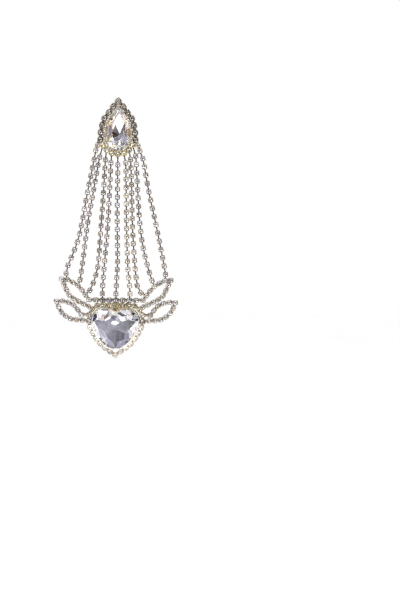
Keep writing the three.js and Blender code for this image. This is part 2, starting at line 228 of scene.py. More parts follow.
def turned(angle):
    return math.atan2(math.sin(angle), math.cos(angle))


def rotated(plan, angle):
    """Plan points turned anticlockwise round the middle."""
    x, z = np.transpose(plan)
    c, s = math.cos(angle), math.sin(angle)
    return np.column_stack([x * c - z * s, x * s + z * c])


def nearest(seat, others):
    return min(others, key=lambda other: math.dist(seat, other))


def at_height(zones, up):
    """The value of the zone that a height lies in. Zones are listed from the top, each as (lowest, value)."""
    return next(value for lowest, value in zones if up >= lowest)


def whole_outline(half, stone, sides):
    """A large stone's outline, anticlockwise seen from the front, from its half outline."""
    right = spaced(smooth(sized(half, stone)), np.linspace(0, 1, sides // 2 + 1))
    return np.vstack([right, mirrored(right[1:-1])[::-1]])[::-1]


def grown(outline, by):
    """An outline moved outwards, square to its edges, by one distance or by one for each point."""
    before, after = np.roll(outline, 1, axis=0), np.roll(outline, -1, axis=0)
    inward, onward = outline - before, after - outline
    a, b = (np.arctan2(d[:, 1], d[:, 0]) for d in (inward, onward))
    half = (b - a + math.pi) % math.tau / 2 - math.pi / 2
    normal = a + half - math.pi / 2
    mitre = by / np.cos(half)
    return outline + np.stack([mitre * np.cos(normal), mitre * np.sin(normal)], axis=1)


# Seats of the cups

def seats_along(points, link, width=CUP_WIDTH):
    line = smooth(points)
    gaps = max(1, round(marks_on(line)[-1] / (width + link)))
    return spaced(line, np.linspace(0, 1, gaps + 1))


def arch_seats():
    right = seats_along(sized(ARCH_OUTLINE, PEAR), ARCH_LINK, ARCH_CUP_WIDTH)
    return np.vstack([mirrored(right[1:])[::-1], right])


def tail_seats():
    return seats_along(sized(TAIL_OUTLINE, PEAR), TAIL_LINK)[1:]


def lower_row_seats():
    pear = whole_outline(PEAR_OUTLINE, PEAR, OUTLINE_SIDES)
    around = grown(pear, SOLDER_GAP + SETTING_WALL + CUP_HALF - SOLDER_LAP / 2)
    bottom = int(np.argmin(around[:, 1]))
    line = smooth(around[bottom:bottom + OUTLINE_SIDES // 2])
    on_each_side = (len(STRANDS) - 3) // 2
    pitch = (CUP_WIDTH + LOWER_ROW_LINK) / marks_on(line)[-1]
    right = spaced(line, np.arange(on_each_side + 1) * pitch)
    return np.vstack([mirrored(right[1:])[::-1], right])


def halo_seats():
    right = seats_along(sized(HALO_OUTLINE, HEART), HALO_LINK)
    return np.vstack([right, mirrored(right[:-1])[::-1]])


def crown_row_seats(halo):
    height = halo[:, 1].max() + CUP_WIDTH - SOLDER_LAP
    across = (np.arange(CROWN_ROW_STONES) - (CROWN_ROW_STONES - 1) / 2) * (CUP_WIDTH + CROWN_ROW_LINK)
    return np.stack([across, np.full(CROWN_ROW_STONES, height)], axis=1)


def leaf_seats(leaf):
    out, back = (seats_along(sized(side, HEART), LEAF_LINK) for side in leaf)
    return np.vstack([out, back[1:]])


def strand_seats(route, hanger, carried):
    """A strand's cups, and the cups that it hangs on and carries."""
    down = HEART["middle"] - PEAR["middle"]
    points = [(across * HEART["width"] / 2, PEAR["middle"] + share * down) for across, share in route]
    load = nearest(points[-1], carried)
    line = smooth([hanger, *points, load])
    length = marks_on(line)[-1]
    first = math.dist(hanger, points[0])
    last = length - (CUP_HALF + CUP_CORNER_RADIUS + SOLDER_GAP + STRAND_END)
    gaps = round((last - first) / (CUP_WIDTH + STRAND_LINK))
    return spaced(line, np.linspace(first, last, gaps + 1) / length), load


# Meshes

SHARP_FROM = 38  # degrees
WELD_DECIMALS = 3  # of a millimetre
GLOW = (0.8, 1.2)  # brightness of the stone of one cup
SHINE = (0.84, 1.14)  # brightness of the metal of one cup


class Form:
    """Corners and faces of a shape in (along, across, height), with a finish and a tint for each face."""

    def __init__(self):
        self.corners, self.faces, self.finishes, self.tints = [], [], [], []

    def add(self, corners, faces, finish, tint="white"):
        """finish and tint are each one for all the faces, or a list with one for each."""
        start = len(self.corners)
        self.corners.extend(tuple(map(float, c)) for c in corners)
        self.faces.extend([start + i for i in face] for face in faces)
        for kept, new in ((self.finishes, finish), (self.tints, tint)):
            kept.extend(new if isinstance(new, list) else [new] * len(faces))
        return self

    def weld(self):
        """Joins corners that lie on each other."""
        places = {}
        joined = []
        for corner in self.corners:
            place = tuple(round(value, WELD_DECIMALS) for value in corner)
            joined.append(places.setdefault(place, len(places)))
        self.corners = list(places)
        self.faces = [[joined[i] for i in face] for face in self.faces]
        return self

    def loft(self, rings, finish, tint="white"):
        """The skin over rings of equally many corners, with a cap on each end."""
        count = len(rings[0])
        last = (len(rings) - 1) * count
        faces = []
        for low in range(0, last, count):
            high = low + count
            for k in range(count):
                after = (k + 1) % count
                faces.append([low + k, low + after, high + after, high + k])
        faces.append(list(range(count))[::-1])
        faces.append(list(range(last, last + count)))
        return self.add(np.vstack(rings), faces, finish, tint)


def ring(plan, heights):
    """Plan points with one height, or one for each."""
    plan = np.asarray(plan, float)
    return np.column_stack([plan, np.broadcast_to(heights, len(plan))])


def in_scene(name, data):
    thing = bpy.data.objects.new(name, data)
    bpy.context.scene.collection.objects.link(thing)
    return thing


class Piece(Form):
    """One piece of the earring, joined from many placed forms. It is in metres, and has colours for tints."""

    def __init__(self, seed):
        super().__init__()
        self.random = np.random.default_rng(seed)

    def place(self, form, seat=(0, 0), angle=0.0, stretch=1.0, wide=1.0, shades=None):
        """Adds a form at a seat, made longer by stretch and wider by wide. shades lists the tint of its metal
        and then the tints to draw from for its foil facets, all in place of its own."""
        along, across, height = np.transpose(form.corners)
        x, z = (rotated(np.column_stack([along * stretch, across * wide]), angle) + seat).T
        drawn = self.random.integers(1, len(shades), len(form.faces)) if shades else None
        glow = self.random.uniform(*GLOW)
        shine = self.random.uniform(*SHINE) if shades else 1.0
        tints = []
        for i, (finish, tint) in enumerate(zip(form.finishes, form.tints)):
            if shades and finish == "foil":
                own = [min(1.0, value * glow) for value in TINTS[shades[drawn[i]]]]
            elif shades and finish == "cup_plate":
                own = [min(1.0, value * shine) for value in TINTS[shades[0]]]
            else:
                own = TINTS[tint]
            tints.append(own)
        self.add(np.column_stack([x, FRAME_BACK - height, z]) * MM, form.faces, form.finishes, tints)

    def made(self, name, slot, *nodes):
        """The piece as an object that stands for CAD nodes."""
        mesh = bpy.data.meshes.new(name)
        mesh.from_pydata(self.corners, [], self.faces)
        used = sorted(set(self.finishes))
        for finish in used:
            mesh.materials.append(FINISHES[finish])
        mesh.polygons.foreach_set("material_index", [used.index(finish) for finish in self.finishes])
        mesh.polygons.foreach_set("use_smooth", [finish in PLATES for finish in self.finishes])
        loops = np.repeat(np.array(self.tints), [len(face) for face in self.faces], axis=0)
        tint = mesh.color_attributes.new("tint", "FLOAT_COLOR", "CORNER")
        tint.data.foreach_set("color", np.column_stack([loops, np.ones(len(loops))]).ravel())
        mesh.set_sharp_from_angle(angle=math.radians(SHARP_FROM))
        mesh.update()
        thing = in_scene(name, mesh)
        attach(thing, "root")
        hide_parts(*nodes)
        return thing


# Rhinestone cups and links

# A cup's body in rings of (half width, corner radius, height): from the dimple in its back up its outside,
# over its rim, with heights from CUP_RIM_HEIGHT, and down to its floor
CUP_OUTSIDE = [(0.34, 0.08, 0.18), (0.46, 0.2, 0), (0.84, 0.22, 0), (1.08, 0.38, 0.07), (1.2, 0.42, 0.3)]
CUP_RIM = [(1.2, 0.42, -0.08), (1.17, 0.42, 0), (1.08, 0.36, 0), (1.06, 0.34, -0.08)]
CUP_RIM_HEIGHT = 0.98
CUP_FLOOR = (1.06, 0.34, 0.5)
SCALLOP_DEPTH = 0.2
SCALLOP = [0.0, 0.35, 0.85, 1.0, 0.85, 0.35]  # how high each point of a quarter of the rim stands
CUP_CORNER_POINTS = 5
CLAW = {"width": 0.6, "tip_width": 0.34, "taper": 1.5, "thickness": 0.15, "thinner_tip": 0.35}
CLAW_PATH = [(1.43, 0.55), (1.43, 0.92), (1.34, 1.16), (1.14, 1.31), (0.88, 1.38)]  # (from middle, height)
CLAW_SECTION = [(-0.5, 0), (-0.3, 1), (0.3, 1), (0.5, 0), (0.3, -1), (-0.3, -1)]  # (widths, half thicknesses)
SMALL_STONE = {
    "facets": 8, "radius": 1.05, "table": 0.6,
    "girdle": 1.0, "edge": 0.07, "bulge": 0.03, "top": 1.6, "culet": 0.3,
}


def rounded_square(half, corner):
    """A square with round corners, from the middle of one side anticlockwise."""
    angles = np.linspace(0, math.pi / 2, CUP_CORNER_POINTS)
    inset = half - corner
    quarter = [(half, 0)] + [(inset + corner * math.cos(a), inset + corner * math.sin(a)) for a in angles]
    return np.vstack([rotated(quarter, k * math.pi / 2) for k in range(4)])


def cup_form():
    """A square cup with a scalloped rim, its four claws and its round stone."""
    form = Form()
    rim = CUP_RIM_HEIGHT - SCALLOP_DEPTH * (1 - np.array(SCALLOP * 4))
    over_rim = [(half, corner, rim + height) for half, corner, height in CUP_RIM]
    rings = [*CUP_OUTSIDE, *over_rim, CUP_FLOOR]
    form.loft([ring(rounded_square(half, corner), height) for half, corner, height in rings], "cup_plate")
    for k in range(4):
        add_claw(form, math.pi / 4 + k * math.pi / 2)
    add_round_stone(form)
    return form


def add_claw(form, angle):
    """A claw that stands on a corner of the cup and bends in over the stone."""
    side, proud = np.transpose(CLAW_SECTION)
    sections = []
    last = len(CLAW_PATH) - 1
    for i, (reach, height) in enumerate(CLAW_PATH):
        lean = direction(CLAW_PATH[max(i - 1, 0)], CLAW_PATH[min(i + 1, last)])
        share = i / last
        width = CLAW["width"] + (CLAW["tip_width"] - CLAW["width"]) * share ** CLAW["taper"]
        thick = CLAW["thickness"] / 2 * (1 - CLAW["thinner_tip"] * share**4) * proud
        plan = np.column_stack([reach + math.sin(lean) * thick, side * width])
        sections.append(ring(rotated(plan, angle), height - math.cos(lean) * thick))
    form.loft(sections[::-1], "cup_plate")


def round_plan(radius, count, turn=0.0):
    angles = [math.tau * (k + turn) / count for k in range(count)]
    return [(radius * math.cos(angle), radius * math.sin(angle)) for angle in angles]


def add_front(form, table, star, rim, heights):
    """The clear front of a stone: its table, the star, kite and edge facets round it, and its girdle. The rim
    has a corner for each of the table and of the stars in turn. heights are the table's, the stars' and those
    of the top and the bottom of the girdle."""
    n = len(table)
    s, r, low = n, 2 * n, 4 * n  # where the corners of the stars and of the girdle start
    faces = [list(range(n))]
    for k in range(n):
        before, after, edge = (k - 1) % n, (k + 1) % n, r + 2 * k
        faces.append([k, s + k, after])
        faces.append([k, s + before, edge])
        faces.append([k, edge, s + k])
        faces.append([s + k, edge, edge + 1])
        faces.append([s + k, edge + 1, r + 2 * after])
    for k in range(2 * n):
        after = (k + 1) % (2 * n)
        faces.append([r + k, low + k, low + after, r + after])
    corners = np.vstack([ring(plan, height) for plan, height in zip((table, star, rim, rim), heights)])
    form.add(corners, faces, "glass")


def add_round_stone(form):
    """A round stone, with foil behind its clear front."""
    s = SMALL_STONE
    n = s["facets"]
    edge = s["girdle"] + s["edge"]
    table = round_plan(s["table"], n, 0.5)
    star = round_plan((s["table"] + s["radius"]) / 2, n, 1)
    heights = s["top"], (edge + s["top"]) / 2 + s["bulge"], edge, s["girdle"]
    add_front(form, table, star, round_plan(s["radius"], 2 * n, 1), heights)
    back = [*ring(round_plan(s["radius"], 2 * n), s["girdle"]), (0, 0, s["culet"])]
    form.add(back, [[k, 2 * n, (k + 1) % (2 * n)] for k in range(2 * n)], "foil")


# (across, height) in shares of a link's width and height
LINK_SECTION = [
    (0.5, 0.5), (0.38, 0.85), (0, 1), (-0.38, 0.85), (-0.5, 0.5), (-0.38, 0.15), (0, 0), (0.38, 0.15),
]
LINK_WAIST = [(0, 1.3), (0.14, 1.04), (0.3, 0.84), (0.7, 0.84), (0.86, 1.04), (1, 1.3)]  # (along, width)


def link_form(width, low, high, finish):
    """A link of unit length, waisted in its middle."""
    sections = []
    for along, wide in LINK_WAIST:
        sections.append([(along, v * width * wide, low + (high - low) * h) for v, h in LINK_SECTION])
    return Form().loft(sections[::-1], finish)


STRAND_LINK_FORM = {"width": 0.72, "low": 0.05, "high": 0.5, "finish": "link_plate"}
SOLDER_FORM = {"width": 1.75, "low": 0.05, "high": 0.85, "finish": "cup_plate"}
LINK_ROOT = 1.0  # how far from the middle of a cup a link starts


def add_row(piece, seats, cup, link, shades, start_at=None, end_at=None, size=1.0):
    """Cups on their seats and the links between them. An end reaches for the cup at start_at or end_at.
    shades is a list for Piece.place, or gives one for a seat."""
    seats = [tuple(seat) for seat in seats]
    shades_at = shades if callable(shades) else lambda seat: shades
    stops = [start_at, *seats, end_at]
    for i, seat in enumerate(seats):
        before, after = stops[i], stops[i + 2]
        out = direction(seat, after) if after is not None else direction(before, seat)
        along = direction(before, seat) if before is not None else out
        bend = turned(out - along)
        angle = along + bend / 2 if abs(bend) < math.pi / 4 else out
        piece.place(cup, seat, angle, size, size, shades_at(seat))
    route = [stop for stop in stops if stop is not None]
    for a, b in zip(route, route[1:]):
        angle, gap = direction(a, b), math.dist(a, b) - 2 * LINK_ROOT
        if gap > 0:
            root = (a[0] + LINK_ROOT * math.cos(angle), a[1] + LINK_ROOT * math.sin(angle))
            piece.place(link, root, angle, gap, size, shades_at(a))


# Large stones and their settings

def ray_to(outline, centre, angle):
    """Where a ray from a centre leaves an outline."""
    around = np.unwrap(np.arctan2(outline[:, 1] - centre[1], outline[:, 0] - centre[0]))
    reach = np.hypot(outline[:, 0] - centre[0], outline[:, 1] - centre[1])
    order = np.argsort(around % math.tau)
    radius = np.interp(angle % math.tau, (around % math.tau)[order], reach[order], period=math.tau)
    return centre[0] + radius * math.cos(angle), centre[1] + radius * math.sin(angle)


def girdle_top(stone):
    return SETTING_FLOOR + SOLDER_GAP + stone["pavilion"] + GIRDLE


CROWN = {"lift": 0.03, "star_reach": 0.45, "star_height": 0.62}


def add_crown(form, stone, outline, table):
    """The clear front of a large stone, round its table. Returns the girdle's corners."""
    centre = (0, stone["middle"] + stone["height"] * CROWN["lift"])
    top = girdle_top(stone)
    angles = [direction(centre, point) for point in table]
    between = [a + turned(b - a) / 2 for a, b in zip(angles, angles[1:] + angles[:1])]
    rim = [ray_to(outline, centre, angle) for pair in zip(angles, between) for angle in pair]
    out = CROWN["star_reach"]
    star = (1 - out) * (table + np.roll(table, -1, axis=0)) / 2 + out * np.array(rim[1::2])
    heights = top + stone["crown"], top + stone["crown"] * CROWN["star_height"], top, top - GIRDLE
    add_front(form, table, star, rim, heights)
    return rim


def depth_share(point, outline, centre):
    """How deep the back of a stone is at a point, from 0 at its outline to 1 at its middle."""
    edge = ray_to(outline, centre, direction(centre, point))
    return max(0.0, 1 - math.dist(point, centre) / math.dist(edge, centre))


def kept_inside(point, outline, centre):
    """The point itself, or where it lies too near the outline, the place next to it that doesn't."""
    edge = ray_to(outline, centre, direction(centre, point))
    reach = max(math.dist(point, centre), NEARLY_NOTHING)
    share = min(1.0, CHART_REACH * math.dist(edge, centre) / reach)
    return tuple(c + share * (p - c) for c, p in zip(centre, point))


def anticlockwise(corners):
    x, z = np.asarray(corners, float).T
    area = float(np.sum(x * np.roll(z, -1) - z * np.roll(x, -1)))
    return corners if area > 0 else corners[::-1]


def inside(point, corners):
    """Whether a point lies in a polygon."""
    x, z = point
    odd = False
    for (ax, az), (bx, bz) in zip(corners, [*corners[1:], corners[0]]):
        if (az > z) != (bz > z) and x < ax + (z - az) * (bx - ax) / (bz - az):
            odd = not odd
    return odd


CHART_REACH = 0.97  # how far out a charted facet may reach, in shares of the way to the outline
SMALL_FACETS = 34  # in each ring
SMALL_FACET_RINGS = [(0.9, 0.0), (0.78, 0.5), (0.64, 0.0)]  # (share of the way out, turn in facets)
FLAT_EDGE = 0.02  # depths are shares of the pavilion's
UNEVEN = 0.06
UNEVEN_FROM = 0.03
UNEVEN_TO = 0.45
TRIANGLES_INSIDE = 1  # what the cutting gives
NEARLY_NOTHING = 1e-6
CUTTING_PRECISION = 1e-4


def add_foil(form, stone, outline, rim, chart, zones, seed):
    """The foiled facets behind the girdle. chart lists facets, each a tint and then its corners, across and
    up in turn, in hundredths of half the stone; a later one lies over an earlier one. What it leaves free is
    cut into small facets, with tints drawn from the first of zones that reaches down to them. All these tints
    are painted reflections: the light, dark and glints that the facets would mirror."""
    random = np.random.default_rng(seed)
    centre = tuple(sized([stone["culet"]], stone)[0])
    points = [tuple(p) for p in rim]
    polygons = [list(range(len(rim)))]
    charted = []
    for _, *numbers in chart:
        traced = sized(np.reshape(numbers, (-1, 2)) / 100, stone)
        charted.append(anticlockwise([kept_inside(p, outline, centre) for p in traced]))
    for corners in charted:
        polygons.append(list(range(len(points), len(points) + len(corners))))
        points.extend(corners)
    for share, turn in SMALL_FACET_RINGS:
        for k in range(SMALL_FACETS):
            edge = ray_to(outline, centre, math.tau * (k + turn) / SMALL_FACETS)
            spot = tuple(c + share * (e - c) for c, e in zip(centre, edge))
            if not any(inside(spot, corners) for corners in charted):
                points.append(spot)
    where, _, faces, _, _, sources = delaunay_2d_cdt(
        [Vector(p) for p in points], [], polygons, TRIANGLES_INSIDE, CUTTING_PRECISION)
    low = girdle_top(stone) - GIRDLE
    corners = []
    for x, z in where:
        deep = depth_share((x, z), outline, centre)
        uneven = random.uniform(-UNEVEN, UNEVEN) if UNEVEN_FROM < deep < UNEVEN_TO else 0
        corners.append((x, z, low - (deep + uneven) * stone["pavilion"] * (deep > FLAT_EDGE)))
    tints = []
    for face, source in zip(faces, sources):
        if max(source) > 0:
            tints.append(chart[max(source) - 1][0])
        else:
            up = (sum(corners[i][1] for i in face) / 3 - stone["middle"]) / (stone["height"] / 2)
            palette = at_height(zones, up)
            tints.append(palette[random.integers(len(palette))])
    form.add(corners, [face[::-1] for face in faces], "large_foil", tints)


# Finishes

def maths(operation):
    """A method of a wire that adds a Math node."""
    settings = {"operation": operation}
    return lambda wire, other: wire.nodes.node("ShaderNodeMath", settings, {0: wire, 1: other})


class Wire:
    """An output of a node. Arithmetic on it adds Math nodes."""

    def __init__(self, nodes, socket):
        self.nodes = nodes
        self.socket = socket

    __add__ = __radd__ = maths("ADD")
    __mul__ = __rmul__ = maths("MULTIPLY")
    __pow__ = maths("POWER")
    at_least = maths("MAXIMUM")

    def __rsub__(self, other):
        return self.nodes.node("ShaderNodeMath", {"operation": "SUBTRACT"}, {0: other, 1: self})


class Nodes:
    """A node tree, built node by node."""

    def __init__(self, tree):
        self.tree = tree

    def put(self, socket, value):
        """Links a wire to an input, or sets its value."""
        if isinstance(value, Wire):
            self.tree.links.new(value.socket, socket)
        elif isinstance(value, tuple) and len(value) == 3 and socket.type == "RGBA":
            socket.default_value = (*value, 1)
        else:
            socket.default_value = value

    def node(self, kind, settings=None, inputs=None, output=0):
        """Adds a node with its settings and inputs, and gives one of its outputs."""
        made = self.tree.nodes.new(kind)
        for name, value in (settings or {}).items():
            if name == "stops":
                while len(made.color_ramp.elements) < len(value):
                    made.color_ramp.elements.new(1)
                for element, (place, colour) in zip(made.color_ramp.elements, value):
                    element.position = place
                    element.color = (*colour, 1)
            else:
                setattr(made, name, value)
        for name, value in (inputs or {}).items():
            self.put(made.inputs[name], value)
        return Wire(self, made.outputs[output])


class Finish(Nodes):
    """A material with one shader."""

    def __init__(self, name):
        self.material = bpy.data.materials.new(name)
        self.material.use_nodes = True
        super().__init__(self.material.node_tree)
        self.shader = self.tree.nodes["Principled BSDF"]

    def surface(self, **inputs):
        """Sets the shader's own inputs, such as Base_Color."""
        for name, value in inputs.items():
            self.put(self.shader.inputs[name.replace("_", " ")], value)
        return self.material

    def place(self):
        return self.node("ShaderNodeTexCoord", output="Object")

    def noise(self, size, detail=2.0):
        """Noise of a grain size in millimetres."""
        scale = 1 / (size * MM)
        return self.node("ShaderNodeTexNoise", {}, {"Vector": self.place(), "Scale": scale, "Detail": detail})

    def ramp(self, value, *stops):
        return self.node("ShaderNodeValToRGB", {"stops": stops}, {"Fac": value})

    def tint(self):
        return self.node("ShaderNodeVertexColor", {"layer_name": "tint"}, output="Color")

    def bump(self, height, depth, strength):
        inputs = {"Height": height, "Distance": depth * MM, "Strength": strength}
        return self.node("ShaderNodeBump", {}, inputs, output="Normal")

    def product(self, a, b):
        """Two colours multiplied."""
        settings = {"data_type": "RGBA", "blend_type": "MULTIPLY"}
        return self.node("ShaderNodeMix", settings, {0: 1.0, 6: a, 7: b}, output=2)


GRAIN_SIZE = 0.2  # of the plate's surface
GRAIN_DEPTH = 0.015
GRAIN_STRENGTH = 0.5
GRAIN_ROUGHNESS = 0.2


def plate_finish(name, size, dark, mid, light, roughness):
    """Thin gold plate over a white metal, its colour uneven and its surface faintly grained."""
    finish = Finish(name)
    cloud = finish.noise(size, 3.0)
    grain = finish.noise(GRAIN_SIZE)
    plate = finish.ramp(cloud, (0.3, dark), (0.5, mid), (0.72, light))
    return finish.surface(
        Base_Color=finish.product(plate, finish.tint()),
        Metallic=1.0,
        Roughness=roughness + GRAIN_ROUGHNESS * grain,
        Normal=finish.bump(grain, GRAIN_DEPTH, GRAIN_STRENGTH),
    )


def glass_finish():
    """Clear crystal with faint rubbing marks."""
    finish = Finish("crystal_glass")
    rubbed = 0.02 * finish.noise(2.0)
    return finish.surface(Base_Color=(1.0, 1.0, 1.0), Roughness=rubbed, Transmission_Weight=1.0, IOR=1.54)


def foil_finish(name, roughness, painted_glow):
    """The mirror foil behind the stones, tinted facet by facet, and given a painted glow: it gives off light
    in its own tint, as strong as the last argument, though no lamp is there."""
    finish = Finish(name)
    cloud = finish.noise(1.2)
    shade = finish.ramp(cloud, (0.3, (0.8, 0.8, 0.82)), (0.7, (1.0, 1.0, 1.0)))
    colour = finish.product(finish.tint(), shade)
    return finish.surface(
        Base_Color=colour,
        Metallic=1.0,
        Roughness=roughness + 0.1 * cloud,
        # a painted glow: the foil shines with its own tint
        Emission_Color=colour,
        Emission_Strength=painted_glow,
    )


def floor_finish():
    finish = Finish("pale_floor")
    colour = finish.ramp(finish.noise(400.0), (0.3, (0.93, 0.93, 0.93)), (0.7, (0.96, 0.96, 0.96)))
    white = (1.0, 1.0, 1.0)
    return finish.surface(Base_Color=colour, Roughness=0.7, Emission_Color=white, Emission_Strength=0.08)


# The metals, which are shaded smooth: each has a size for its clouds in millimetres, its colour from dark to
# light, and its roughness
PLATES = {
    "gold": ("pale_gold", 3.0, (0.55, 0.42, 0.2), (0.72, 0.6, 0.36), (0.85, 0.76, 0.55), 0.14),
    "setting_plate": ("setting_plate", 2.6, (0.7, 0.65, 0.57), (0.8, 0.77, 0.7), (0.9, 0.88, 0.83), 0.14),
    "cup_plate": ("cup_plate", 1.6, (0.45, 0.41, 0.34), (0.72, 0.67, 0.58), (0.95, 0.91, 0.82), 0.16),
    "link_plate": ("link_plate", 1.6, (0.035, 0.03, 0.025), (0.09, 0.075, 0.06), (0.18, 0.15, 0.12), 0.2),
}
FINISHES = {
    **{key: plate_finish(*plate) for key, plate in PLATES.items()},
    "glass": glass_finish(),
    # the last number of each foil is the strength of its painted glow
    "foil": foil_finish("rhinestone_foil", 0.1, 0.05),
    "large_foil": foil_finish("crystal_foil", 0.35, 0.5),
}


# The pieces

SEEDS = {"post": 1, "top_frame": 2, "heart_frame": 3, "pear": 4, "heart": 5, "strands": 10}

# The left halves of the large stones' tables, (across, up) in shares of half the stone
PEAR_TABLE = [
    (0, 0.65), (-0.24, 0.45), (-0.41, 0.2), (-0.53, -0.09), (-0.57, -0.37), (-0.39, -0.64), (0, -0.75),
]
HEART_TABLE = [
    (0, 0.62), (-0.26, 0.64), (-0.52, 0.56), (-0.82, 0.38), (-0.66, 0.04), (-0.48, -0.26), (-0.26, -0.58),
    (0, -0.86),
]
# Charts of the foil's facets, for add_foil. Their tints are painted reflections and highlights.
PEAR_CHART = [
    ("clear", 5, 68, -25, 31, -19, 19, 11, -20, 45, 26),
    ("clear", -25, 31, -37, 2, -32, -2, -19, 19),
    ("smoke", -19, 19, -40, -14, 10, -28, 11, -20),
    ("smoke", 45, 26, 11, -20, 12, -28, 52, -18, 50, 10),
    ("maroon", -42, -12, -36, -40, -28, -42, 12, -27),
    ("kite", -28, -41, 12, -27, 20, -45, 10, -70, -5, -76, -22, -62),
    ("shield", 12, -27, 52, -18, 66, -30, 20, -45),
    ("band", 20, -45, 66, -30, 80, -40, 60, -62, 30, -66),
    ("smoke", 24, -62, 50, -64, 46, -74, 22, -74),
    ("milk", 36, -10, 44, -8, 50, -30, 42, -34),
    ("clear", 20, -47, 10, -52, 2, -76, 12, -74),
    ("milk", -42, -38, -30, -42, -20, -70, -34, -66, -46, -55),
    ("milk", 76, -42, 62, -60, 78, -68, 90, -50),
    ("butter", -64, 36, -45, 38, -48, 18, -68, 16),
    ("fern", -55, 50, -36, 48, -38, 38, -60, 40),
    ("maroon", 54, 48, 66, 46, 66, 42, 54, 43),
    ("butter", 60, 42, 72, 42, 80, 20, 68, 16),
    ("kite", -58, 12, -42, 12, -46, -18, -60, -20),
    ("petal", -80, -6, -68, -4, -62, -26, -74, -28),
    ("amber", 78, 2, 92, 0, 94, -30, 78, -28),
    ("clear", -74, -62, -40, -66, -38, -84, -62, -84),
]
# Palettes for the foil that a chart leaves free, each from a height up in shares of half the stone; these too
# are painted reflections, lighter and darker by height
PEAR_ZONES = [
    (0.6, ["milk", "cloud", "milk", "petal", "olive"]),
    (-0.2, ["butter", "petal", "rosewood", "cloud", "smoke", "petal", "amber"]),
    (-0.6, ["petal", "cloud", "rosewood", "smoke", "butter", "olive"]),
    (-2, ["cloud", "clear", "smoke", "butter", "milk", "olive", "fern"]),
]
HEART_CHART = [
    ("shield", -87, 37, -74, 6, -39, -22, 0, 0, 0, 60, -12, 58, -22, 47, -30, 41, -42, 36, -47, 40, -55, 37,
     -70, 41),
    ("dull_shield", 84, 36, 62, 41, 52, 43, 40, 38, 28, 33, 7, 56, 0, 60, 0, 0, 40, -18, 57, -5, 63, 6),
    ("soft_shield", -86, 35, -73, 8, -55, -8, -42, 16, -60, 35),
    ("leaden", 84, 35, 63, 6, 52, -8, 50, 14, 62, 38),
    ("kite", 0, 0, -40, -22, -28, -45, -10, -64, 0, -84),
    ("dull_band", -38, -76, -20, -66, 0, -82, 10, -60, 38, -66, 40, -76, 20, -93, -20, -93),
    ("dark_kite", 0, 0, 0, -84, 6, -80, 9, -63, 22, -58, 37, -47, 39, -19),
    ("plum", 4, -4, 4, -56, 13, -60, 17, -12),
    ("plum", 25, -26, 36, -22, 36, -46, 24, -50),
    ("band", -74, 6, -62, -38, -30, -74, 0, -84, -10, -64, -28, -45, -40, -22),
    ("haze", -72, 2, -62, -38, -44, -58, -50, -30, -60, -12),
    ("milk", -56, -30, -48, -56, -36, -68, -40, -44),
    ("dull_band", 40, -18, 37, -47, 22, -58, 30, -72, 46, -62, 58, -46, 57, -20, 50, -8),
    ("milk", 50, -8, 57, -20, 58, -40, 68, -36, 72, -10, 62, 2),
    ("rosewood", 56, -42, 58, -56, 67, -56, 66, -42),
    ("clear", -100, 33, -87, 35, -73, 4, -62, -40, -75, -30, -95, 10),
    ("clear", 70, -10, 62, 4, 78, 20, 86, 35, 97, 30, 92, 0, 80, -20),
    ("petal", -93, 16, -88, 18, -88, 4, -92, 2),
    ("petal", -84, -4, -78, -2, -78, -10, -83, -14),
    ("milk", -76, -20, -70, -16, -69, -28, -74, -30),
    ("petal", 82, 10, 88, 12, 90, -2, 84, -4),
    ("petal", 74, -16, 80, -14, 80, -26, 75, -28),
    ("fern", -69, -46, -62, -42, -54, -50, -60, -60, -66, -56),
    ("smoke", -58, -60, -46, -60, -38, -70, -44, -76, -56, -68),
    ("smoke", -36, -78, -26, -76, -24, -86, -34, -86),
    ("smoke", -18, -87, -3, -85, 0, -95, -14, -95),
    ("smoke", 10, -88, 26, -86, 22, -93, 10, -95),
    ("dark_kite", 38, -68, 42, -60, 56, -54, 58, -62, 46, -72),
    ("clear", 44, -74, 58, -64, 56, -74, 46, -80),
    ("kite", -20, 58, -8, 62, -2, 52, -8, 42, -20, 46),
    ("haze", 0, 50, 8, 54, 22, 36, 16, 28, 4, 34),
    ("clear", -17, 28, -10, 36, 4, 38, 10, 31, 15, 26, 0, 18, -10, 21),
    ("clear", -44, 37, -42, 44, -22, 58, -19, 50, -30, 41),
    ("clear", 7, 57, 14, 62, 42, 50, 40, 40, 28, 36),
    ("cloud", -28, 82, -36, 70, -42, 54, -27, 58),
    ("rosewood", -36, 70, -50, 54, -48, 40, -42, 44, -30, 56),
    ("petal", -64, 64, -55, 64, -52, 56, -62, 56),
    ("petal", -74, 56, -66, 60, -64, 50, -72, 46),
    ("petal", -58, 50, -50, 50, -48, 42, -56, 42),
    ("clear", -72, 84, -34, 84, -42, 68, -72, 68),
    ("fern", -64, 93, -32, 91, -32, 86, -63, 88),
    ("olive", -84, 84, -74, 86, -72, 76, -80, 74),
    ("butter", -20, 60, -24, 90, 0, 80, 12, 88, 10, 70, 0, 63),
    ("clear", -16, 66, -18, 80, 0, 74, 6, 70, 0, 64),
    ("fern", 9, 68, 14, 81, 38, 65, 31, 56),
    ("smoke", 31, 57, 38, 65, 48, 65, 46, 60),
    ("fern", 42, 53, 47, 51, 47, 43, 42, 42),
    ("cloud", 42, 72, 50, 74, 54, 64, 46, 64),
    ("clear", 16, 86, 42, 72, 60, 66, 60, 80, 42, 88),
    ("fern", 14, 92, 44, 95, 46, 90, 15, 87),
    ("clear", 48, 60, 66, 60, 64, 48, 50, 46),
    ("navy", -100, 72, -80, 78, -76, 50, -86, 36, -100, 34),
    ("indigo", -87, 60, -80, 58, -80, 44, -90, 40),
    ("navy", 66, 80, 86, 80, 100, 60, 98, 42, 86, 38, 68, 42, 74, 60),
    ("indigo", 68, 44, 73, 58, 86, 54, 88, 41),
]
